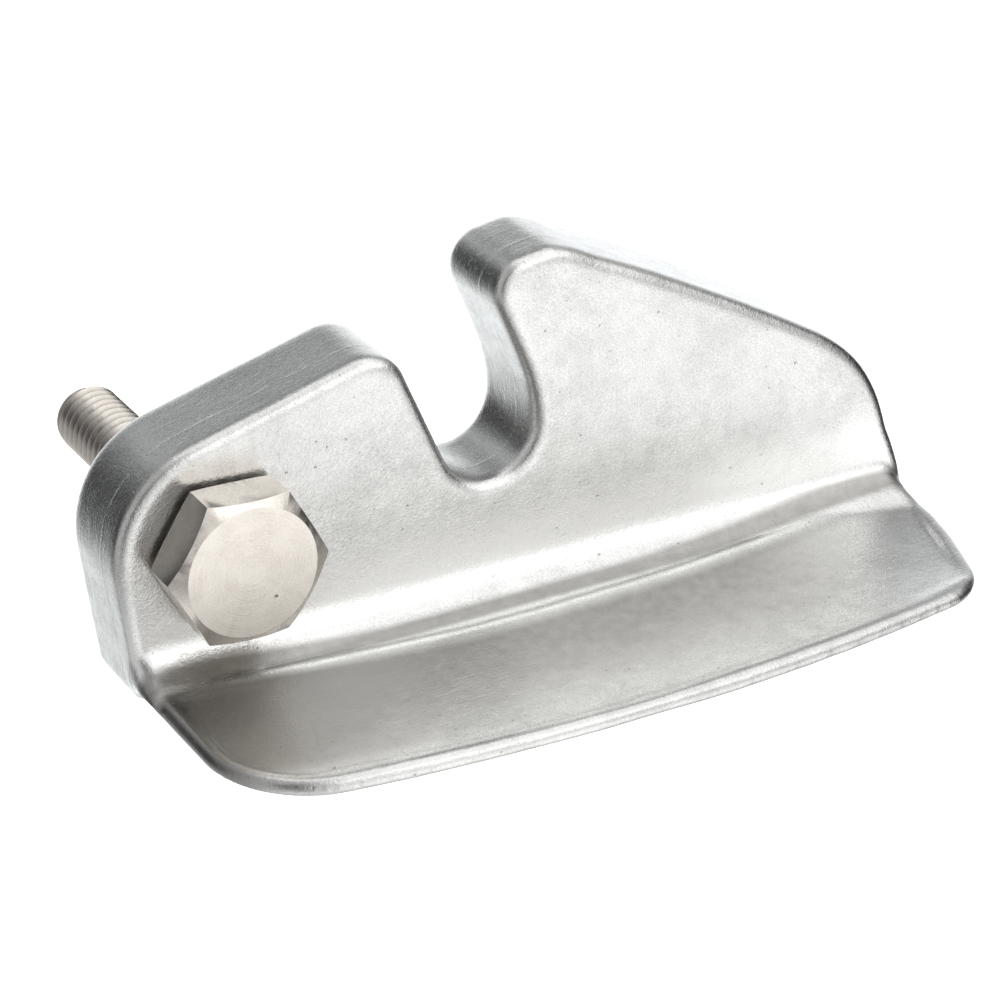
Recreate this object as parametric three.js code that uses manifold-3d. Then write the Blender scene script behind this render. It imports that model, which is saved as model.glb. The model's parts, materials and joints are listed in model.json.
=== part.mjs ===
// Pivoting hook clamp lever with its hex-head shoulder bolt and spring washer.
// Millimetres, +Z up, +X along the lever, +Y from the front face to the back.
// While it is built, x = z = 0 is the pivot axis and y = 0 is the plate's front face.
import * as THREE from 'three';
import * as BufferGeometryUtils from 'three/addons/utils/BufferGeometryUtils.js';
import Module from 'manifold-3d';

const wasm = await Module();
wasm.setup();

// Plate: round boss on the pivot, hook slot in the top edge, sloping tail
const plateThickness = 15.2;
const plateEdgeRound = 2;
const baseZ = -19;
const bossRadius = 15.0;
const bossTopAngle = 106;
const bossSideAngle = 187.6;
const shoulderCorner = { x: 20.5, z: 15.5, radius: 5.8 };
const slot = { x: 37.9, z: 7.0, radius: 6.8, wallAngle: 203 };
const nose = { x: 43.8, z: 25.6, radius: 4.8 };

// Flange: a thumb plate that stands out in front, dished on top
const flangeTopZ = -15.6;
const flangeEdgeRound = 1.3;
const flangeLeftX = -12.7;
const flangeRightX = 105.2;
const leftCorner = { x: 2.1, radius: 14.6 };
const rightCorner = { x: 89.0, radius: 11, sideAngle: -25 };
const lipArc = { x: 40, y: 259, radius: 294 };
const rootFilletRadius = 5;

// Dish in the flange: a shallow section swept about a far vertical axis
const dishAxis = { x: 40, y: 230 };
const dishRidgeRadius = 239.3;
const dishLipRadius = 263.4;
const dishRimWidth = 2.2;
const dishFloorZ = -17.0;
const lipTopZ = -16.3;

// Pivot bolt: 3/4 inch hex head, 1/2 inch shoulder, 3/8 inch thread
const headAcrossFlats = 19.05;
const headHeight = 6.6;
const headTurn = -1.6;
const headChamferRadius = 8.8;
const headGap = 0.9;
const shoulderRadius = 6.35;
const shoulderPastPlate = 0.5;
const threadRadius = 4.72;
const threadTipY = 45.9;
const threadChamfer = 1.2;
const threadReliefRadius = 3.9;
const threadReliefLength = 2.4;
const boreRadius = shoulderRadius + 0.3;

// Wave spring washer between the head and the plate
const washer = { inner: 6.7, outer: 8.8, thickness: 0.3, wave: 0.12, waves: 3 };

const degrees = Math.PI / 180;
const backY = plateThickness;

function toSolid(geometry) {
  const bare = geometry.clone();
  bare.deleteAttribute('normal');
  bare.deleteAttribute('uv');
  const merged = BufferGeometryUtils.mergeVertices(bare, 1e-5);
  return new wasm.Manifold(new wasm.Mesh({
    numProp: 3,
    vertProperties: new Float32Array(merged.attributes.position.array),
    triVerts: new Uint32Array(merged.index.array),
  }));
}

function toGeometry(solid) {
  const mesh = solid.getMesh();
  const geometry = new THREE.BufferGeometry();
  geometry.setAttribute('position', new THREE.BufferAttribute(new Float32Array(mesh.vertProperties), 3));
  geometry.setIndex(new THREE.BufferAttribute(new Uint32Array(mesh.triVerts), 1));
  geometry.computeVertexNormals();
  return geometry;
}

// A shape drawn in X and Z, extruded from y0 to y1
function extrudeAlongY(shape, y0, y1, round) {
  const geometry = new THREE.ExtrudeGeometry(shape, {
    depth: y1 - y0 - 2 * round, curveSegments: 14, bevelEnabled: round > 0,
    bevelThickness: round, bevelSize: round, bevelOffset: -round, bevelSegments: 3,
  });
  geometry.rotateX(Math.PI / 2);
  geometry.translate(0, y1 - round, 0);
  return geometry;
}

// A shape drawn in X and Y, extruded from z0 to z1
function extrudeAlongZ(shape, z0, z1, round) {
  const geometry = new THREE.ExtrudeGeometry(shape, {
    depth: z1 - z0 - 2 * round, curveSegments: 14, bevelEnabled: round > 0,
    bevelThickness: round, bevelSize: round, bevelOffset: -round, bevelSegments: 3,
  });
  geometry.translate(0, 0, z0 + round);
  return geometry;
}

// A profile of [radius, distance] points turned about the Y axis
function turnedAlongY(points, segments) {
  const profile = points.map(([radius, y]) => new THREE.Vector2(radius, y));
  return new THREE.LatheGeometry(profile, segments);
}

// Side view of the plate, counter-clockwise from the lower right corner
function plateOutline() {
  const shape = new THREE.Shape();
  shape.moveTo(flangeRightX + 0.2, baseZ);
  shape.lineTo(flangeRightX - 0.4, -15);
  shape.quadraticCurveTo(103.6, -10.5, 101.9, -7);
  shape.bezierCurveTo(100.2, -1.5, 98.6, 4.2, 90.0, 9.7);
  shape.quadraticCurveTo(74, 19.2, 54, 28.4);
  shape.quadraticCurveTo(49.4, 30.9, 46.9, 31.0);
  shape.absarc(nose.x, nose.z, nose.radius, 100 * degrees, 200 * degrees, false);
  shape.lineTo(41.6, 18.6);
  shape.bezierCurveTo(43.7, 13.6, 44.7, 11, slot.x + slot.radius, slot.z);
  shape.absarc(slot.x, slot.z, slot.radius, 0, -(360 - slot.wallAngle) * degrees, true);
  shape.absarc(shoulderCorner.x, shoulderCorner.z, shoulderCorner.radius, 23 * degrees,
    bossTopAngle * degrees, false);
  shape.absarc(0, 0, bossRadius, bossTopAngle * degrees, bossSideAngle * degrees, false);
  shape.lineTo(flangeLeftX, baseZ);
  shape.closePath();
  return shape;
}

// A corner arc of the flange runs smoothly into the lip's long arc
function cornerCentreY(corner) {
  return lipArc.y - Math.sqrt((lipArc.radius - corner.radius) ** 2 - (corner.x - lipArc.x) ** 2);
}

function cornerMeetsLip(corner) {
  return Math.atan2(cornerCentreY(corner) - lipArc.y, corner.x - lipArc.x);
}

// Plan of the flange, counter-clockwise from its right end inside the plate
function flangePlan() {
  const shape = new THREE.Shape();
  const leftMeetsLip = cornerMeetsLip(leftCorner);
  const rightMeetsLip = cornerMeetsLip(rightCorner);
  shape.moveTo(flangeRightX, backY - 3);
  shape.lineTo(flangeLeftX + 0.2, backY - 3);
  shape.lineTo(flangeLeftX + 0.2, cornerCentreY(leftCorner));
  shape.absarc(leftCorner.x, cornerCentreY(leftCorner), leftCorner.radius, -Math.PI, leftMeetsLip, false);
  shape.absarc(lipArc.x, lipArc.y, lipArc.radius, leftMeetsLip, rightMeetsLip, false);
  shape.absarc(rightCorner.x, cornerCentreY(rightCorner), rightCorner.radius, rightMeetsLip,
    rightCorner.sideAngle * degrees, false);
  shape.quadraticCurveTo(102.9, -16, flangeRightX, -1);
  shape.closePath();
  return shape;
}

// Plan of the dish: it stays inside the left rim and runs out at the right end
function dishPlan() {
  const shape = new THREE.Shape();
  shape.moveTo(flangeRightX + 5, 3);
  shape.lineTo(flangeLeftX + dishRimWidth, 3);
  shape.absarc(leftCorner.x, cornerCentreY(leftCorner), leftCorner.radius - dishRimWidth, -Math.PI,
    -Math.PI / 2, false);
  shape.lineTo(12, -60);
  shape.lineTo(flangeRightX + 5, -60);
  shape.closePath();
  return shape;
}

// The dish's section, swept about a far vertical axis; it removes what is above it
function dishSweep() {
  const middle = (dishRidgeRadius + dishLipRadius) / 2;
  const section = new THREE.Path();
  section.moveTo(dishRidgeRadius, flangeTopZ + 0.02);
  section.quadraticCurveTo(middle - 4, dishFloorZ - 0.9, dishLipRadius, lipTopZ - 0.15);
  section.lineTo(dishLipRadius + 0.5, lipTopZ);
  section.lineTo(dishLipRadius + 20, lipTopZ);
  section.lineTo(dishLipRadius + 20, flangeTopZ + 6);
  section.lineTo(dishRidgeRadius, flangeTopZ + 6);
  section.lineTo(dishRidgeRadius, flangeTopZ + 0.02);
  const sweep = new THREE.LatheGeometry(section.getPoints(9), 200);
  sweep.rotateX(Math.PI / 2);
  sweep.translate(dishAxis.x, dishAxis.y, 0);
  return sweep;
}

// The root of the flange: a straight run with a hollow fillet up to the plate
function rootFillet() {
  const section = new THREE.Shape();
  section.moveTo(3, flangeTopZ - 1);
  section.lineTo(3, flangeTopZ + rootFilletRadius);
  section.lineTo(0, flangeTopZ + rootFilletRadius);
  section.absarc(-rootFilletRadius, flangeTopZ + rootFilletRadius, rootFilletRadius, 0, -90 * degrees, true);
  section.lineTo(-rootFilletRadius, flangeTopZ - 1);
  section.closePath();
  const length = flangeRightX - flangeLeftX - 1.5;
  const geometry = new THREE.ExtrudeGeometry(section, { depth: length, curveSegments: 8, bevelEnabled: false });
  // the drawn X and Y become the frame's Y and Z, and the length runs along X
  geometry.applyMatrix4(new THREE.Matrix4().makeBasis(
    new THREE.Vector3(0, 1, 0), new THREE.Vector3(0, 0, 1), new THREE.Vector3(1, 0, 0)));
  geometry.translate(flangeLeftX + 0.3, 0, 0);
  return geometry;
}

function clampLever() {
  const plate = toSolid(extrudeAlongY(plateOutline(), 0, backY, plateEdgeRound));
  const flange = toSolid(extrudeAlongZ(flangePlan(), baseZ, flangeTopZ, flangeEdgeRound));
  const dish = toSolid(dishSweep()).intersect(toSolid(extrudeAlongZ(dishPlan(), baseZ - 5, 0, 0)));
  const bore = toSolid(new THREE.CylinderGeometry(boreRadius, boreRadius, 3 * backY, 64));
  const lever = flange.subtract(dish).add(plate).add(toSolid(rootFillet())).subtract(bore);
  return toGeometry(lever);
}

// The bolt stands head forward on the pivot axis
function pivotBolt() {
  const headBackY = -headGap;
  const headFrontY = headBackY - headHeight;
  const cornerRadius = headAcrossFlats / Math.sqrt(3);
  const chamferDepth = (cornerRadius - headChamferRadius) * Math.tan(30 * degrees);
  const hexagon = new THREE.CylinderGeometry(cornerRadius, cornerRadius, headHeight, 6);
  hexagon.rotateY((headTurn + 30) * degrees);
  hexagon.translate(0, (headFrontY + headBackY) / 2, 0);
  const turnedBlank = turnedAlongY([
    [0, headFrontY], [headChamferRadius, headFrontY], [cornerRadius + 0.1, headFrontY + chamferDepth],
    [cornerRadius + 0.1, headBackY], [0, headBackY],
  ], 72);
  const shoulderEndY = backY + shoulderPastPlate;
  const shank = turnedAlongY([
    [0, headBackY - 1], [shoulderRadius, headBackY - 1], [shoulderRadius, shoulderEndY - 0.4],
    [shoulderRadius - 0.4, shoulderEndY], [threadReliefRadius, shoulderEndY],
    [threadReliefRadius, shoulderEndY + threadReliefLength],
    [threadRadius, shoulderEndY + threadReliefLength + 0.8], [threadRadius, threadTipY - threadChamfer],
    [threadRadius - threadChamfer, threadTipY], [0, threadTipY],
  ], 48);
  return toGeometry(toSolid(hexagon).intersect(toSolid(turnedBlank)).add(toSolid(shank)));
}

// A flat ring bent into a few waves around its edge
function waveWasher() {
  const ring = turnedAlongY([
    [washer.inner, 0], [washer.outer, 0], [washer.outer, washer.thickness],
    [washer.inner, washer.thickness], [washer.inner, 0],
  ], 72);
  const position = ring.attributes.position;
  const middleY = -headGap / 2 - washer.thickness / 2;
  for (let i = 0; i < position.count; i += 1) {
    const turn = Math.atan2(position.getZ(i), position.getX(i));
    position.setY(i, position.getY(i) + middleY + washer.wave * Math.cos(washer.waves * turn));
  }
  return ring;
}

function addPiece(group, name, geometry, colour, roughness) {
  const material = new THREE.MeshStandardMaterial({ color: colour, roughness, metalness: 1 });
  const mesh = new THREE.Mesh(geometry, material);
  mesh.name = name;
  group.add(mesh);
}

const assembly = new THREE.Group();
addPiece(assembly, 'clamp_lever', clampLever(), 0xc9cac6, 0.42);
addPiece(assembly, 'pivot_bolt', pivotBolt(), 0xb9ada0, 0.3);
addPiece(assembly, 'wave_washer', waveWasher(), 0x8f8a84, 0.35);

// The finished part stands on its underside, with its origin below the middle of its box
const box = new THREE.Box3().setFromObject(assembly);
const middle = box.getCenter(new THREE.Vector3());
assembly.position.set(-middle.x, -middle.y, -box.min.z);

const group = new THREE.Group();
group.add(assembly);

export default group;
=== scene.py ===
import json
import math
import bmesh
import bpy
from mathutils import Matrix, Vector, noise
from mathutils.geometry import interpolate_bezier


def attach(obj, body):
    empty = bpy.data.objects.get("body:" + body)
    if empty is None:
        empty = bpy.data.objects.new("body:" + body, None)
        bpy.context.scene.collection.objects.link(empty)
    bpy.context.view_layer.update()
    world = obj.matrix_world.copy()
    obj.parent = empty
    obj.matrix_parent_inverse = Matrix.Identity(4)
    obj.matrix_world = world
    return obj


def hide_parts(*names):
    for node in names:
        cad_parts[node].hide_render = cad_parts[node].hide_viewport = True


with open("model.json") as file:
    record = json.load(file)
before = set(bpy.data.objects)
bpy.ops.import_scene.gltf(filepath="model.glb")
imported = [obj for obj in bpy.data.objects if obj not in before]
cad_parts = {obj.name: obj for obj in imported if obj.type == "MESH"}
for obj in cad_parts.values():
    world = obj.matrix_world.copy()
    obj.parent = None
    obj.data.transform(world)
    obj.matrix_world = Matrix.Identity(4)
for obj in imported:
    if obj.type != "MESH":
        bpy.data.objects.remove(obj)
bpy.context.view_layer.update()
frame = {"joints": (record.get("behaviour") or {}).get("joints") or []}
scene = bpy.context.scene

millimetre = 0.001
pivotHome = Vector(frame["joints"][0]["pos_m"])  # the pivot axis where it meets the plate's front face
toRowFrame = Matrix.Translation(pivotHome) @ Matrix.Scale(millimetre, 4)
upright = Matrix.Rotation(math.radians(90), 4, "X")  # lays a flat drawing up into X and Z
print("frame loaded, pivot at", tuple(round(c, 4) for c in pivotHome))

# Every piece is drawn in millimetres from the pivot and moved to its place at the end
curveSteps = 14  # straight pieces in one curve of an outline


def drawOutline(bm, strokes):
    # Strokes follow each other round the outline, which is then filled with one face
    chain = []
    for kind, *numbers in strokes:
        first = len(bm.verts)
        if kind == "arc":
            centre, radius, start, end, steps = numbers
            start, end = math.radians(start), math.radians(end)
            corner = Vector((*centre, 0))
            begin = bm.verts.new(corner + radius * Vector((math.cos(start), math.sin(start), 0)))
            bmesh.ops.spin(bm, geom=[begin], cent=corner, axis=(0, 0, 1), angle=end - start, steps=steps)
        elif kind == "curve":
            begin = chain[-1].co
            end = Vector((*numbers[-1], 0))
            if len(numbers) == 2:  # one handle pulls both ends
                pull = Vector((*numbers[0], 0))
                handles = [begin.lerp(pull, 2 / 3), end.lerp(pull, 2 / 3)]
            else:
                handles = [Vector((*numbers[0], 0)), Vector((*numbers[1], 0))]
            for point in interpolate_bezier(begin, *handles, end, curveSteps)[1:]:
                bm.verts.new(point)
        else:
            bm.verts.new((*numbers[0], 0))
        bm.verts.ensure_lookup_table()
        chain += bm.verts[first:]
    face = bm.faces.new(chain)
    bmesh.ops.remove_doubles(bm, verts=bm.verts[:], dist=0.01)
    return face


def extrudeAll(bm, travel):
    made = bmesh.ops.extrude_face_region(bm, geom=bm.faces[:])["geom"]
    bmesh.ops.translate(bm, verts=[g for g in made if isinstance(g, bmesh.types.BMVert)], vec=travel)
    bmesh.ops.recalc_face_normals(bm, faces=bm.faces[:])


def roundEdges(bm, edges, width, segments):
    bmesh.ops.bevel(bm, geom=edges, offset=width, offset_type="OFFSET", segments=segments, profile=0.5,
                    affect="EDGES", material=-1, clamp_overlap=False)


def rimAt(bm, axis, level):
    return [e for e in bm.edges if all(abs(v.co[axis] - level) < 1e-4 for v in e.verts)]


def toObject(bm, name):
    mesh = bpy.data.meshes.new(name)
    bm.to_mesh(mesh)
    bm.free()
    piece = bpy.data.objects.new(name, mesh)
    scene.collection.objects.link(piece)
    return piece


def applyModifiers(piece):
    bpy.context.view_layer.update()
    ready = piece.evaluated_get(bpy.context.evaluated_depsgraph_get())
    mesh = bpy.data.meshes.new_from_object(ready)
    piece.modifiers.clear()
    old = piece.data
    piece.data = mesh
    bpy.data.meshes.remove(old)


def combine(piece, other, operation):
    joiner = piece.modifiers.new(operation.lower(), "BOOLEAN")
    joiner.operation, joiner.object, joiner.solver = operation, other, "MANIFOLD"
    applyModifiers(piece)
    bpy.data.objects.remove(other)


lever = {
    "thickness": 15.2, "baseZ": -19, "frontRound": 1.6, "backRound": 2.3,
    "bossRadius": 15.0, "bossTop": 106, "bossSide": 187.6,
    "shoulderCorner": (20.5, 15.5), "shoulderCornerRadius": 5.8,
    "slot": (37.9, 7.0), "slotRadius": 6.8, "slotWall": 203,
    "nose": (43.8, 25.6), "noseRadius": 4.8,
    "boreRadius": 6.65,
    "leftX": -12.5, "rightX": 105.2,
    "leftCorner": (2.1, 14.6), "rightCorner": (89.0, 11.0), "rightSide": -25, "rightBulge": (102.9, -16),
    "lipCentre": (40, 259), "lipRadius": 294, "planFrom": -25, "planHeight": 12,
    "rimRadius": 1.35, "rimFade": (88, 99), "rimSink": 0.22, "rimInset": 1.08,
    "rimEnd": [(102.4, -14.6), (104.1, -8)],  # the rim's outer edge on its way to the right end
    "dishCentre": (40, 230), "dishStart": -14, "dishSweep": 32, "dishSteps": 110,  # turns in degrees
    "rootRadius": 5.0, "landZ": -15.75, "rootFoot": 65, "rootBack": 3, "rootSink": 1.5,
    "rootPast": (0.9, -1.1),  # how far the fillet runs past the flange's left and right ends
    "rootEndRound": 2.4, "rootLean": 0.5,
    "voxel": 0.5, "smoothing": 4,
    "waviness": [(0.05, 0.16), (0.16, 0.05), (0.5, 0.012)],  # waves per mm, height in mm
}


def plateOutline():
    s = lever
    slotX, slotZ = s["slot"]
    return [
        ("to", (s["rightX"] + 0.2, s["baseZ"])),
        ("to", (s["rightX"] - 0.4, -15)),
        ("curve", (103.6, -10.5), (101.9, -7)),
        ("curve", (100.2, -1.5), (98.6, 4.2), (90.0, 9.7)),
        ("curve", (74, 19.2), (54, 28.4)),
        ("curve", (49.4, 30.9), (46.9, 31.0)),
        ("arc", s["nose"], s["noseRadius"], 100, 200, 14),
        ("to", (41.6, 18.6)),
        ("curve", (43.7, 13.6), (44.7, 11), (slotX + s["slotRadius"], slotZ)),
        ("arc", s["slot"], s["slotRadius"], 0, s["slotWall"] - 360, 24),
        ("arc", s["shoulderCorner"], s["shoulderCornerRadius"], 23, s["bossTop"], 12),
        ("arc", (0, 0), s["bossRadius"], s["bossTop"], s["bossSide"], 24),
        ("to", (s["leftX"] - 0.2, s["baseZ"])),
    ]


def castPlate():
    bm = bmesh.new()
    drawOutline(bm, plateOutline())
    bmesh.ops.transform(bm, matrix=upright, verts=bm.verts[:])
    extrudeAll(bm, (0, lever["thickness"], 0))
    roundEdges(bm, rimAt(bm, 1, 0), lever["frontRound"], 6)
    roundEdges(bm, rimAt(bm, 1, lever["thickness"]), lever["backRound"], 5)
    return toObject(bm, "plate")


def lipCorner(corner):
    # Where a corner's arc has to be centred to run smoothly into the lip, and the angle where they meet
    x, radius = corner
    lipX, lipY = lever["lipCentre"]
    y = lipY - math.sqrt((lever["lipRadius"] - radius) ** 2 - (x - lipX) ** 2)
    return (x, y), math.degrees(math.atan2(y - lipY, x - lipX))


def flangePlan(inset):
    s = lever
    leftCentre, leftMeets = lipCorner(s["leftCorner"])
    rightCentre, rightMeets = lipCorner(s["rightCorner"])
    return [
        ("to", (s["rightX"] - inset, 12)),
        ("to", (s["leftX"] + inset, 12)),
        ("arc", leftCentre, s["leftCorner"][1] - inset, -180, leftMeets, 18),
        ("arc", s["lipCentre"], s["lipRadius"] - inset, leftMeets, rightMeets, 80),
        ("arc", rightCentre, s["rightCorner"][1] - inset, rightMeets, s["rightSide"], 14),
        ("curve", (s["rightBulge"][0] - inset, s["rightBulge"][1]), (s["rightX"] - inset, -1)),
    ]


def flangeSection():
    # Distance from the dish's far axis, and height: land, fine ridge, then the dish up to the lip
    return [
        ("to", (222, -19)), ("to", (265.6, -19)), ("to", (265.6, -16.45)), ("to", (264.0, -16.35)),
        ("curve", (262.7, -16.42), (262.1, -16.75)),
        ("curve", (256.5, -17.7), (246.5, -18.0), (240.6, -16.6)),
        ("curve", (239.6, -16.15), (238.6, -15.85)),
        ("curve", (237.9, -15.7), (237.2, -15.95)),
        ("curve", (236.7, -16.15), (236.0, -16.1)),
        ("to", (233.4, -15.55)),
        ("to", (222, -15.55)),
    ]


def castFlange():
    s = lever
    bm = bmesh.new()
    drawOutline(bm, flangeSection())
    # the section stands on the dish's radius, pointing to the front, and is swept sideways
    flip = Matrix(((0, 0, 1, 0), (-1, 0, 0, 0), (0, 1, 0, 0), (0, 0, 0, 1)))
    centre = Vector((*s["dishCentre"], 0))
    bmesh.ops.transform(bm, matrix=Matrix.Translation(centre) @ flip, verts=bm.verts[:])
    toStart = Matrix.Rotation(math.radians(s["dishStart"]), 3, "Z")
    bmesh.ops.rotate(bm, verts=bm.verts[:], cent=centre, matrix=toStart)
    section = bm.faces[:]
    bmesh.ops.spin(bm, geom=section, cent=centre, axis=(0, 0, 1), angle=math.radians(s["dishSweep"]),
                   steps=s["dishSteps"])
    bmesh.ops.holes_fill(bm, edges=bm.edges[:])
    bmesh.ops.recalc_face_normals(bm, faces=bm.faces[:])
    swept = toObject(bm, "flange")
    bm = bmesh.new()
    drawOutline(bm, flangePlan(s["rimInset"]))
    bmesh.ops.translate(bm, verts=bm.verts[:], vec=(0, 0, s["planFrom"]))
    extrudeAll(bm, (0, 0, s["planHeight"]))
    combine(swept, toObject(bm, "plan"), "INTERSECT")
    return swept


def castRim():
    # A rounded bead that runs along the left edge, round the lip and back along the right edge
    s = lever
    leftCentre, leftMeets = lipCorner(s["leftCorner"])
    rightCentre, rightMeets = lipCorner(s["rightCorner"])
    bm = bmesh.new()
    bmesh.ops.create_circle(bm, cap_ends=True, segments=20, radius=s["rimRadius"], matrix=upright)
    bmesh.ops.translate(bm, verts=bm.verts[:],
                        vec=(s["leftX"] + s["rimRadius"], 5, s["baseZ"] + s["rimRadius"]))
    front = bm.faces[:]

    def pushOn(travel):
        made = bmesh.ops.extrude_face_region(bm, geom=front)["geom"]
        bmesh.ops.translate(bm, verts=[g for g in made if isinstance(g, bmesh.types.BMVert)], vec=travel)
        front[:] = [g for g in made if isinstance(g, bmesh.types.BMFace)]

    def swingOn(centre, sweep, steps):
        made = bmesh.ops.spin(bm, geom=front, cent=(*centre, 0), axis=(0, 0, 1),
                              angle=math.radians(sweep), steps=steps)["geom_last"]
        front[:] = [g for g in made if isinstance(g, bmesh.types.BMFace)]

    pushOn((0, leftCentre[1] - 5, 0))
    swingOn(leftCentre, leftMeets + 180, 18)
    swingOn(s["lipCentre"], rightMeets - leftMeets, 80)
    swingOn(rightCentre, s["rightSide"] - rightMeets, 14)
    for x, y in s["rimEnd"] + [(s["rightX"], 1)]:
        reach = Vector((x - s["rimRadius"], y, 0)) - front[0].calc_center_median()
        pushOn((reach.x, reach.y, 0))
    for vert in bm.verts:  # the bead sinks into the flange at its right end
        sunk = min(1, max(0, (vert.co.x - s["rimFade"][0]) / (s["rimFade"][1] - s["rimFade"][0])))
        vert.co.z = s["baseZ"] + (vert.co.z - s["baseZ"]) * (1 - s["rimSink"] * sunk)
    bmesh.ops.recalc_face_normals(bm, faces=bm.faces[:])
    return toObject(bm, "rim")


def castRoot():
    # The hollow fillet between plate and flange, with its two ends rounded over
    s = lever
    radius, landZ, back = s["rootRadius"], s["landZ"], s["rootBack"]
    top, bottom = landZ + radius + 0.4, landZ - s["rootSink"]
    bm = bmesh.new()
    drawOutline(bm, [
        ("to", (back, bottom)), ("to", (back, top)), ("to", (0.1, top)),
        ("arc", (-radius, landZ + radius), radius, 0, -s["rootFoot"], 12),
        ("to", (-radius, bottom + 0.2)), ("to", (-radius, bottom)),
    ])
    alongX = Matrix(((0, 0, 1, 0), (1, 0, 0, 0), (0, 1, 0, 0), (0, 0, 0, 1)))
    bmesh.ops.transform(bm, matrix=alongX, verts=bm.verts[:])
    left, right = s["leftX"] - s["rootPast"][0], s["rightX"] + s["rootPast"][1]
    bmesh.ops.translate(bm, verts=bm.verts[:], vec=(left, 0, 0))
    extrudeAll(bm, (right - left, 0, 0))
    for end in (left, right):
        ends = [e for e in rimAt(bm, 0, end) if max(v.co.y for v in e.verts) < back - 0.1
                and max(v.co.z for v in e.verts) > landZ - 0.2]
        roundEdges(bm, ends, s["rootEndRound"], 5)
    for vert in bm.verts:  # the right end leans in like the plate's edge
        if vert.co.x > right - 3:
            vert.co.x -= s["rootLean"] * max(0, vert.co.z - landZ)
    return toObject(bm, "root")


def castLever():
    s = lever
    plate = castPlate()
    bm = bmesh.new()
    bmesh.ops.create_cone(bm, cap_ends=True, segments=72, radius1=s["boreRadius"], radius2=s["boreRadius"],
                          depth=60, matrix=upright)
    combine(plate, toObject(bm, "bore"), "DIFFERENCE")
    bm = bmesh.new()
    for part in (plate, castFlange(), castRim(), castRoot()):
        bm.from_mesh(part.data)
        bpy.data.objects.remove(part)
    casting = toObject(bm, "clampLever")
    skin = casting.modifiers.new("skin", "REMESH")  # one skin over plate, flange, rim and root
    skin.mode, skin.voxel_size, skin.adaptivity = "VOXEL", s["voxel"], 0
    melt = casting.modifiers.new("melt", "SMOOTH")
    melt.factor, melt.iterations = 0.5, s["smoothing"]
    applyModifiers(casting)
    bm = bmesh.new()
    bm.from_mesh(casting.data)
    bm.normal_update()
    for vert in bm.verts:  # a casting is never quite flat
        swell = sum(height * noise.noise(vert.co * waves) for waves, height in s["waviness"])
        fromPivot = Vector((vert.co.x, vert.co.z)).length / s["boreRadius"]
        clear = min(1, max(0, fromPivot - 1.1) * 4)  # the bore itself stays round
        vert.co += vert.normal * swell * clear
    bmesh.ops.transform(bm, matrix=toRowFrame, verts=bm.verts[:])
    bmesh.ops.recalc_face_normals(bm, faces=bm.faces[:])
    for face in bm.faces:
        face.smooth = True
    bm.to_mesh(casting.data)
    bm.free()
    return casting


clampLever = castLever()
print("lever cast:", len(clampLever.data.polygons), "faces")


bolt = {
    "acrossFlats": 19.05, "headHeight": 6.6, "headGap": 0.9, "headTurn": -1.6,
    "chamferRadius": 8.8, "chamferAngle": 30, "backChamfer": (0.9, 0.35), "edgeBreak": 0.1,
    "shoulderRadius": 6.35, "shoulderEnd": 15.7, "shoulderChamfer": 0.4, "shoulderSink": 2,
    "reliefRadius": 3.9, "reliefLength": 2.4,
    "threadRadius": 4.72, "threadPitch": 1.5875, "threadDepth": 0.86, "threadTip": 45.9, "threadSteps": 56,
    "tipChamfer": 1.2, "creaseAngle": 24,
}


def turnedBlank(points, segments):
    # A profile of (radius, distance along the axis) turned full circle
    bm = bmesh.new()
    verts = [bm.verts.new((radius, along, 0)) for radius, along in points]
    edges = [bm.edges.new(pair) for pair in zip(verts, verts[1:])]
    bmesh.ops.spin(bm, geom=verts + edges, cent=(0, 0, 0), axis=(0, 1, 0), angle=math.radians(360),
                   steps=segments, use_merge=True)
    bmesh.ops.remove_doubles(bm, verts=bm.verts[:], dist=0.0005)
    bmesh.ops.recalc_face_normals(bm, faces=bm.faces[:])
    return bm


def hexHead():
    s = bolt
    backY = -s["headGap"]
    frontY = backY - s["headHeight"]
    cornerRadius = s["acrossFlats"] / math.sqrt(3)
    slope = math.tan(math.radians(s["chamferAngle"]))
    bm = bmesh.new()
    bmesh.ops.create_circle(bm, cap_ends=True, segments=6, radius=cornerRadius)
    bmesh.ops.rotate(bm, verts=bm.verts[:], cent=(0, 0, 0),
                     matrix=Matrix.Rotation(math.radians(s["headTurn"] + 30), 3, "Z"))
    bmesh.ops.transform(bm, matrix=Matrix.Translation((0, frontY, 0)) @ upright, verts=bm.verts[:])
    extrudeAll(bm, (0, s["headHeight"], 0))
    head = toObject(bm, "head")
    wide = cornerRadius + 0.5
    blank = turnedBlank([
        (0, frontY), (s["chamferRadius"], frontY),
        (wide, frontY + (wide - s["chamferRadius"]) * slope),
        (wide, backY - s["backChamfer"][1]), (cornerRadius - s["backChamfer"][0], backY), (0, backY)], 120)
    combine(head, toObject(blank, "blank"), "INTERSECT")
    return head


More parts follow.
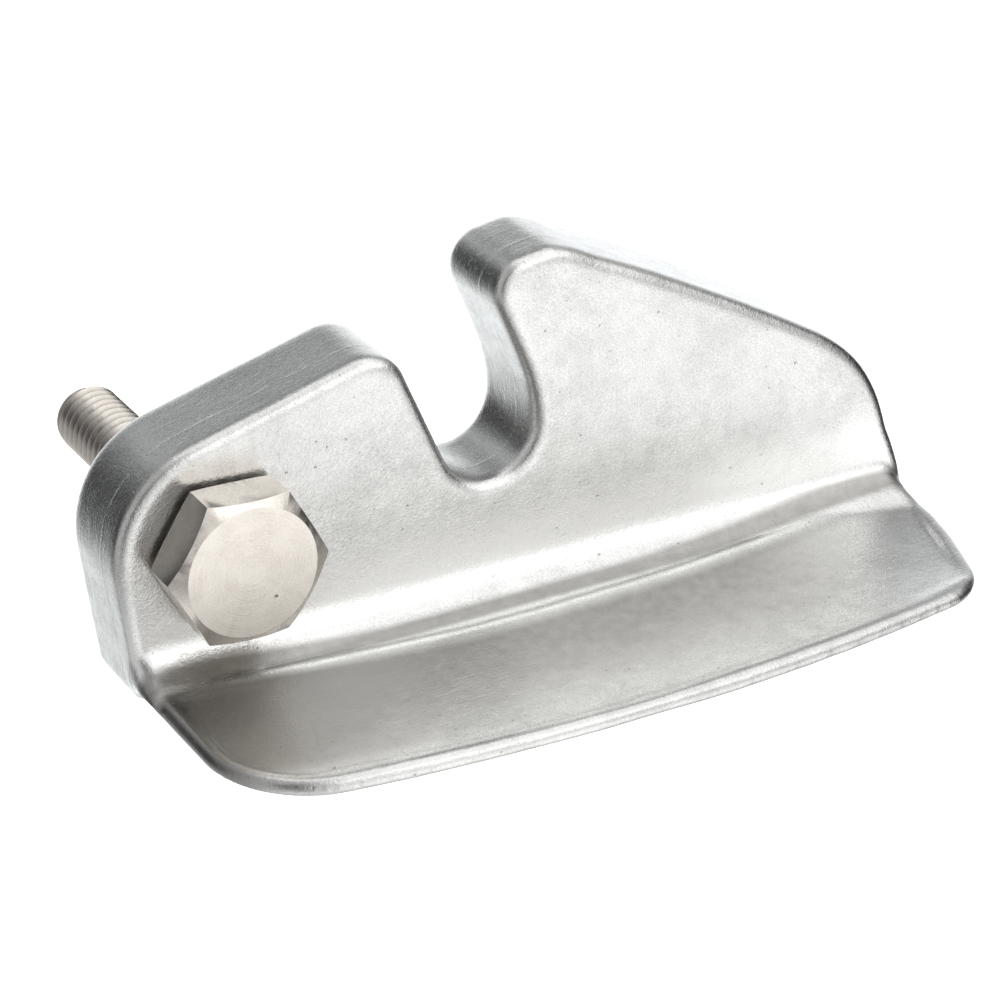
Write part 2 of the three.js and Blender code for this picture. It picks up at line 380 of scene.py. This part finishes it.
def threadedEnd():
    s = bolt
    start = s["shoulderEnd"] + s["reliefLength"]
    pitch, crest = s["threadPitch"], s["threadRadius"]
    root = crest - s["threadDepth"]
    turns = math.ceil((s["threadTip"] - start) / pitch) + 2
    steps = s["threadSteps"]
    bm = bmesh.new()
    profile = [  # (radius, share of the pitch)
        (root, 0), (root, 0.11), (crest - 0.05, 0.43), (crest, 0.47),
        (crest, 0.53), (crest - 0.05, 0.57), (root, 0.89), (root, 1)]
    verts = [bm.verts.new((radius, start + (share - 1) * pitch, 0)) for radius, share in profile]
    edges = [bm.edges.new(pair) for pair in zip(verts, verts[1:])]
    bmesh.ops.spin(bm, geom=verts + edges, cent=(0, 0, 0), axis=(0, 1, 0), dvec=(0, pitch / steps, 0),
                   angle=math.radians(360 * turns), steps=steps * turns)
    bmesh.ops.remove_doubles(bm, verts=bm.verts[:], dist=0.004)
    for level, side in ((start, -1), (s["threadTip"], 1)):
        bmesh.ops.bisect_plane(bm, geom=bm.verts[:] + bm.edges[:] + bm.faces[:], dist=1e-5,
                               plane_co=(0, level, 0), plane_no=(0, side, 0), clear_outer=True)
    for vert in bm.verts:
        fromTip = s["threadTip"] - vert.co.y
        fromStart = vert.co.y - start
        limit = min(crest, crest - s["tipChamfer"] + fromTip, s["reliefRadius"] + fromStart)
        radius = math.hypot(vert.co.x, vert.co.z)
        if radius > limit:
            vert.co.x *= limit / radius
            vert.co.z *= limit / radius
    for level, travel in ((start, -s["reliefLength"] - 1), (s["threadTip"], 0)):
        rim = [e for e in bm.edges if e.is_boundary and all(abs(v.co.y - level) < 1e-3 for v in e.verts)]
        if travel:
            made = bmesh.ops.extrude_edge_only(bm, edges=rim)["geom"]
            bmesh.ops.translate(bm, verts=[g for g in made if isinstance(g, bmesh.types.BMVert)],
                                vec=(0, travel, 0))
            rim = [g for g in made if isinstance(g, bmesh.types.BMEdge)]
        bmesh.ops.edgeloop_fill(bm, edges=rim)
    bmesh.ops.recalc_face_normals(bm, faces=bm.faces[:])
    return toObject(bm, "thread")


def makeBolt():
    s = bolt
    head = hexHead()
    radius, end, chamfer = s["shoulderRadius"], s["shoulderEnd"], s["shoulderChamfer"]
    inHead = -s["headGap"] - s["shoulderSink"]
    shoulder = turnedBlank([
        (0, inHead), (radius, inHead), (radius, end - chamfer), (radius - chamfer, end), (0, end)], 96)
    combine(head, toObject(shoulder, "shoulder"), "UNION")
    combine(head, threadedEnd(), "UNION")
    edgeBreak = head.modifiers.new("edgeBreak", "BEVEL")
    edgeBreak.width, edgeBreak.segments, edgeBreak.limit_method = s["edgeBreak"], 2, "ANGLE"
    edgeBreak.angle_limit = math.radians(s["creaseAngle"])
    applyModifiers(head)
    head.name = "pivotBolt"
    head.data.transform(toRowFrame)
    head.data.shade_smooth()
    head.data.set_sharp_from_angle(angle=math.radians(s["creaseAngle"]))
    return head


pivotBolt = makeBolt()
print("bolt turned:", len(pivotBolt.data.polygons), "faces")


washer = {"inner": 6.7, "outer": 8.8, "thickness": 0.3, "wave": 0.12, "waves": 3, "middle": -0.45}


def rollWasher():
    s = washer
    low, high = s["middle"] - s["thickness"] / 2, s["middle"] + s["thickness"] / 2
    bm = bmesh.new()
    verts = [bm.verts.new((radius, along, 0)) for radius, along in
             ((s["inner"], low), (s["outer"], low), (s["outer"], high), (s["inner"], high))]
    section = bm.faces.new(verts)
    bmesh.ops.spin(bm, geom=section.edges[:] + verts, cent=(0, 0, 0), axis=(0, 1, 0),
                   angle=math.radians(360), steps=120, use_merge=True)
    bmesh.ops.delete(bm, geom=[f for f in bm.faces if f.normal.cross(Vector((0, 0, 1))).length < 1e-4
                               and all(abs(v.co.z) < 1e-5 for v in f.verts)], context="FACES_ONLY")
    bmesh.ops.remove_doubles(bm, verts=bm.verts[:], dist=0.0005)
    for vert in bm.verts:
        vert.co.y += s["wave"] * math.cos(s["waves"] * math.atan2(vert.co.z, vert.co.x))
    bmesh.ops.recalc_face_normals(bm, faces=bm.faces[:])
    bmesh.ops.transform(bm, matrix=toRowFrame, verts=bm.verts[:])
    piece = toObject(bm, "waveWasher")
    piece.data.shade_smooth()
    piece.data.set_sharp_from_angle(angle=math.radians(40))
    return piece


waveWasher = rollWasher()
print("washer rolled")


class Wire:
    # One socket of a node tree; sums and products of wires add Math nodes
    def __init__(self, bench, socket):
        self.bench, self.socket = bench, socket

    def __add__(self, other):
        return self.bench.maths("ADD", self, other)

    __radd__ = __add__

    def __sub__(self, other):
        return self.bench.maths("SUBTRACT", self, other)

    def __rsub__(self, other):
        return self.bench.maths("SUBTRACT", other, self)

    def __mul__(self, other):
        return self.bench.maths("MULTIPLY", self, other)

    __rmul__ = __mul__


class Bench:
    # The node tree of one material or of the world
    def __init__(self, owner):
        owner.use_nodes = True
        self.tree = owner.node_tree
        self.tree.nodes.clear()

    def add(self, kind, settings=None, sockets=None, output=0):
        node = self.tree.nodes.new("ShaderNode" + kind)
        for name, value in (settings or {}).items():
            setattr(node, name, value)
        for name, value in (sockets or {}).items():
            if isinstance(value, Wire):
                self.tree.links.new(value.socket, node.inputs[name])
            else:
                node.inputs[name].default_value = value
        return Wire(self, node.outputs[output]) if node.outputs else node

    def maths(self, operation, first, second=0.0):
        return self.add("Math", {"operation": operation}, {0: first, 1: second})

    def noise(self, place, scale, detail=2.0, roughness=0.5):
        return self.add("TexNoise", {}, {"Vector": place, "Scale": scale, "Detail": detail,
                                         "Roughness": roughness})

    def fade(self, value, low, high, toLow=0.0, toHigh=1.0):
        return self.add("MapRange", {"interpolation_type": "SMOOTHSTEP"}, {
            "Value": value, "From Min": low, "From Max": high, "To Min": toLow, "To Max": toHigh})

    def mix(self, share, first, second):
        return self.add("Mix", {"data_type": "RGBA"}, {0: share, 6: first, 7: second}, output=2)

    def millimetres(self):
        # Object coordinates in millimetres from the pivot
        spot = self.add("TexCoord", {}, {}, output="Object")
        return self.add("Mapping", {}, {"Vector": spot, "Scale": (1 / millimetre,) * 3,
                                        "Location": tuple(-c / millimetre for c in pivotHome)})


def newMaterial(name):
    material = bpy.data.materials.new(name)
    return material, Bench(material)


def finishMaterial(bench, sockets, height):
    bump = bench.add("Bump", {}, {"Height": height, "Distance": millimetre, "Strength": 1.0})
    metal = bench.add("BsdfPrincipled", {}, {"Metallic": 1.0, "Normal": bump, **sockets})
    bench.add("OutputMaterial", {}, {"Surface": metal})


castTones = {
    "bright": (0.75, 0.75, 0.737, 1),
    "dull": (0.53, 0.528, 0.518, 1),
    "pit": (0.36, 0.35, 0.34, 1),
    # tone of the painted shade on the land, the dish and round the boss
    "paintedShade": (0.33, 0.322, 0.308, 1),
    # tone of the painted highlight on the fillet and the low front face
    "footHighlight": (0.95, 0.95, 0.935, 1),
}
castRoughness = 0.26
castRelief = {  # heights in mm
    "peel": 0.035, "grain": 0.04, "sand": 0.025, "pits": -0.05, "marks": -0.02,
    "parting": 0.03, "streaks": 0.03,
}
castZones = {  # in mm, where each zone's change begins and ends
    # from the dish's far axis
    "dishFoot": (238.2, 240.5), "dishLip": (243.0, 262.0), "headLip": (258, 263),
    # sideways from the pivot
    "tipEnd": (66, 98), "landSwing": (48, 108), "landLeft": (-12, 22), "headSide": (-4, 30),
    "bossSide": (8, 40),
    # up from the pivot
    "aboveLand": (-13.0, -12.2), "footHeight": (-10, -2), "bossHeight": (-4, 8),
    # behind the plate's front face
    "footFront": (-0.8, -0.2), "footBack": (0.8, 1.6),
    # to each side of a line
    "landWidth": (0.7, 1.8), "partingWidth": (0.05, 0.4),
}
partingLine = 5.2  # mm behind the front face


def castAluminium():
    zones = castZones
    material, bench = newMaterial("castAluminium")
    spot = bench.millimetres()
    across, along, up = (bench.add("SeparateXYZ", {}, {0: spot}, axis) for axis in "XYZ")
    clouds = bench.noise(spot, 0.09, 3)
    patches = bench.noise(spot, 0.32, 5, 0.6)
    peel = bench.noise(spot, 0.85, 2)
    grain = bench.noise(spot, 2.6, 3, 0.65)
    sand = bench.noise(spot, 5.5, 2)
    marks = bench.fade(bench.noise(spot, 1.1, 4, 0.6), 0.60, 0.72) * bench.fade(clouds, 0.4, 0.6)
    flecks = bench.add("TexVoronoi", {}, {"Vector": spot, "Scale": 0.55, "Randomness": 1.0}, "Distance")
    pitMask = bench.fade(flecks, 0.05, 0.13, 1.0, 0.0) * bench.fade(patches, 0.5, 0.6)
    dull = (bench.fade(clouds * 0.5 + patches * 0.5, 0.40, 0.66) * 0.4 + bench.fade(grain, 0.35, 0.75) * 0.3
            + bench.fade(sand, 0.38, 0.62) * 0.4 + marks * 0.3 - 0.1)
    # painted shade: the ridge and the fillet stay bright, the land and the dish on its two sides are
    # painted darker in place of the dim reflections there
    level = bench.add("VectorMath", {"operation": "MULTIPLY"}, {0: spot, 1: (1, 1, 0)})
    reach = bench.add("VectorMath", {"operation": "DISTANCE"},
                      {0: level, 1: (*lever["dishCentre"], 0)}, "Value")
    dishFoot = bench.fade(reach, *zones["dishFoot"])
    dish = dishFoot * bench.fade(reach, *zones["dishLip"], 1.0, 0.25)
    tipEnd = bench.fade(across, *zones["tipEnd"], 1.0, 0.15)
    swing = bench.fade(across, *zones["landSwing"], 0.0, 3.2)
    landLine = along + (4.2 - swing) - bench.fade(across, *zones["landLeft"], 2.0, 0.0)
    land = bench.fade(bench.maths("ABSOLUTE", landLine), *zones["landWidth"], 1.0, 0.0)
    # painted reflection: the dish in front of the bolt head is painted darker, as the head's dark side
    # mirrored there
    headReflection = (dishFoot * bench.fade(reach, *zones["headLip"], 1.0, 0.0)
               * bench.fade(across, *zones["headSide"], 1.0, 0.0))
    # one mask for the painted shade of the land, the dish and the bolt head's dark reflection
    paintedShade = (land * 0.85 + dish * tipEnd * 0.9) * (bench.noise(spot, 0.6, 4) * 0.5 + 0.75) + headReflection * 0.6
    paintedShade = paintedShade * bench.fade(up, *zones["aboveLand"], 1.0, 0.0)
    colour = bench.mix(dull, castTones["bright"], castTones["dull"])
    colour = bench.mix(paintedShade, colour, castTones["paintedShade"])
    # painted highlight: the fillet and the low part of the front face are painted almost white
    footHighlight = (bench.fade(up, *zones["footHeight"], 1.0, 0.0) * bench.fade(along, *zones["footFront"])
            * bench.fade(along, *zones["footBack"], 1.0, 0.0))
    colour = bench.mix(footHighlight * 0.85, colour, castTones["footHighlight"])
    # painted shade: the plate round the boss, left of and above the bolt head, is painted darker in cloudy
    # patches
    bossShade = bench.fade(across, *zones["bossSide"], 1.0, 0.0) * bench.fade(up, *zones["bossHeight"])
    colour = bench.mix(bossShade * 0.35 * clouds, colour, castTones["paintedShade"])
    colour = bench.mix(pitMask * 0.8, colour, castTones["pit"])
    # side walls carry a faint parting line and fine marks drawn along the edge
    facing = bench.add("SeparateXYZ", {}, {0: bench.add("TexCoord", {}, {}, output="Normal")}, "Y")
    onSide = bench.fade(bench.maths("ABSOLUTE", facing), 0.25, 0.6, 1.0, 0.0)
    wander = bench.noise(spot, 0.25) * 0.8 + (along - partingLine - 0.4)
    parting = (bench.fade(bench.maths("ABSOLUTE", wander), *zones["partingWidth"], 1.0, 0.0) * onSide
               * bench.fade(patches, 0.4, 0.6))
    stretched = bench.add("VectorMath", {"operation": "MULTIPLY"}, {0: spot, 1: (0.22, 3.2, 0.22)})
    streaks = bench.noise(stretched, 1.0, 3, 0.6) * onSide
    relief = {"peel": peel, "grain": grain, "sand": sand, "pits": pitMask, "marks": marks,
              "parting": parting, "streaks": streaks}
    height = sum(relief[kind] * tall for kind, tall in castRelief.items())
    finishMaterial(bench, {
        "Base Color": colour,
        "Roughness": patches * 0.12 + grain * 0.08 + paintedShade * 0.08 + (castRoughness - 0.1),
    }, height)
    return material


steelTones = {
    "bright": (0.74, 0.70, 0.645, 1),
    "dull": (0.56, 0.52, 0.475, 1),
    "dark": (0.22, 0.195, 0.175, 1),
}
nickSpot = (3.0, -7.5, -4.1)  # a small dent on the head's face


def turnedSteel():
    material, bench = newMaterial("turnedSteel")
    spot = bench.millimetres()
    facing = bench.add("SeparateXYZ", {}, {0: bench.add("TexCoord", {}, {}, output="Normal")}, "Y")
    onFace = bench.fade(bench.maths("ABSOLUTE", facing), 0.9, 0.98)
    flat = bench.add("VectorMath", {"operation": "MULTIPLY"}, {0: spot, 1: (1, 0, 1)})
    radius = bench.add("VectorMath", {"operation": "LENGTH"}, {0: flat}, "Value")
    around = bench.add("CombineXYZ", {}, {"X": radius * 5.0, "Y": bench.noise(spot, 0.12) * 0.6})
    rings = bench.noise(around, 1.0, 3, 0.7)
    speckle = bench.noise(spot, 3.2, 4, 0.65)
    clouds = bench.noise(spot, 0.35, 3)
    dull = bench.fade(speckle * 0.6 + clouds * 0.4, 0.38, 0.66) * 0.6 + (rings - 0.5) * onFace * 0.5
    colour = bench.mix(dull, steelTones["bright"], steelTones["dull"])
    # painted highlight: the middle of the head's face is painted brighter
    centre = bench.fade(radius, 0.2, 2.2, 1.0, 0.0) * onFace
    along = bench.add("SeparateXYZ", {}, {0: spot}, "Y")
    # the thread is darker than the shoulder, most of all down at its roots
    onThread = bench.fade(along, bolt["shoulderEnd"], bolt["shoulderEnd"] + 1)
    crest = bolt["threadRadius"]
    valley = bench.fade(radius, crest - 0.75, crest - 0.1, 1.0, 0.25) * onThread
    colour = bench.mix(centre * 0.5, colour, steelTones["bright"])
    colour = bench.mix(valley * 0.75, colour, steelTones["dark"])
    nick = bench.add("VectorMath", {"operation": "DISTANCE"}, {0: spot, 1: nickSpot}, "Value")
    nickMask = bench.fade(nick, 0.12, 0.32, 1.0, 0.0)
    colour = bench.mix(nickMask * 0.8, colour, steelTones["dark"])
    height = rings * onFace * 0.03 + speckle * 0.008 - nickMask * 0.06
    finishMaterial(bench, {"Base Color": colour, "Roughness": speckle * 0.1 + onFace * 0.06 + 0.2}, height)
    return material


springTones = {"bright": (0.42, 0.40, 0.38, 1), "dull": (0.30, 0.285, 0.27, 1)}


def springSteel():
    material, bench = newMaterial("springSteel")
    spot = bench.millimetres()
    speckle = bench.noise(spot, 3.0, 3)
    colour = bench.mix(bench.fade(speckle, 0.35, 0.7), springTones["bright"], springTones["dull"])
    finishMaterial(bench, {"Base Color": colour, "Roughness": speckle * 0.1 + 0.3}, speckle * 0.01)
    return material


for piece, body, node, slot, material in (
        (clampLever, "lever", "clamp_lever", "lever_casting", castAluminium()),
        (pivotBolt, "pivot", "pivot_bolt", "bolt_steel", turnedSteel()),
        (waveWasher, "pivot", "wave_washer", "washer_steel", springSteel())):
    piece.data.materials.clear()
    piece.data.materials.append(material)
    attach(piece, body)
    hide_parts(node)
print("materials made")


stageSet = {
    "floorZ": -0.1, "floorSize": 6.0,  # in metres
    "floorPaint": (0.8, 0.8, 0.8, 1), "floorGlow": 1.05,
}


def layFloor():
    bm = bmesh.new()
    bmesh.ops.create_grid(bm, x_segments=1, y_segments=1, size=stageSet["floorSize"])
    bmesh.ops.translate(bm, verts=bm.verts[:], vec=(0, 0, stageSet["floorZ"]))
    floor = toObject(bm, "floor")
    material, bench = newMaterial("paleFloor")
    paint = bench.add("BsdfDiffuse", {}, {"Color": stageSet["floorPaint"]})
    glow = bench.add("Emission", {}, {"Color": (1, 1, 1, 1), "Strength": stageSet["floorGlow"]})
    bench.add("OutputMaterial", {}, {"Surface": bench.add("AddShader", {}, {0: paint, 1: glow})})
    floor.data.materials.append(material)
    floor.visible_glossy = False


# Soft areas of studio light: compass bearing from +Y, height, half width, soft edge in degrees, strength
softAreas = [
    (178, 9, 16, 32, 0.90),
    (140, 42, 20, 22, 0.88),
    (143, -36, 8, 26, 0.80),
    (178, -66, 24, 22, 0.50),
    (40, 83, 18, 14, 0.72),
    (22, -18, 18, 34, 0.90),
    (-40, 3, 6, 36, -0.52),
    (-155, 12, 10, 32, -0.60),
    (16, 46, 8, 20, -0.30),
    (92, -4, 16, 18, -0.70),
    (152, -4, 5, 10, -0.42),
]
ambient = 0.56
darkest = 0.03
backdrop = 1.1  # what the camera sees behind the piece
rearTint = (0.96, 0.985, 1.0, 1)  # light that comes from behind is slightly blue


def hangLights():
    world = bpy.data.worlds.new("studio")
    scene.world = world
    bench = Bench(world)
    ray = bench.add("TexCoord", {}, {}, output="Generated")
    light = ambient
    for bearing, height, half, edge, strength in softAreas:
        bearing, height = math.radians(bearing), math.radians(height)
        aim = (math.sin(bearing) * math.cos(height), math.cos(bearing) * math.cos(height), math.sin(height))
        near = bench.add("VectorMath", {"operation": "DOT_PRODUCT"}, {0: ray, 1: aim}, "Value")
        patch = bench.fade(near, math.cos(math.radians(half + edge)), math.cos(math.radians(half)))
        light = patch * strength + light
    light = bench.maths("MAXIMUM", light, darkest)
    seen = bench.add("LightPath", {}, {}, "Is Camera Ray")
    strength = light + seen * (backdrop - light)
    behind = bench.fade(bench.add("SeparateXYZ", {}, {0: ray}, "Y"), 0.1, 0.8) * (1 - seen)
    tint = bench.mix(behind, (1, 1, 1, 1), rearTint)
    back = bench.add("Background", {}, {"Color": tint, "Strength": strength})
    bench.add("OutputWorld", {}, {"Surface": back})


view = {"target": (28.5, -18.85, 8.0), "distance": 0.39482, "azimuth": -29.41, "elevation": 26.57,
        "lens": 115.2, "sensor": 36}  # the target is in millimetres from the pivot


def placeCamera():
    azimuth, elevation = math.radians(view["azimuth"]), math.radians(view["elevation"])
    back = Vector((math.sin(azimuth) * math.cos(elevation), -math.cos(azimuth) * math.cos(elevation),
                   math.sin(elevation)))
    camera = bpy.data.objects.new("camera", bpy.data.cameras.new("camera"))
    scene.collection.objects.link(camera)
    camera.data.lens, camera.data.sensor_width = view["lens"], view["sensor"]
    camera.data.clip_start, camera.data.clip_end = 0.01, 50
    camera.location = toRowFrame @ Vector(view["target"]) + back * view["distance"]
    camera.rotation_euler = back.to_track_quat("Z", "Y").to_euler()
    scene.camera = camera


layFloor()
hangLights()
placeCamera()
scene.view_settings.view_transform = "Standard"
print("stage set")
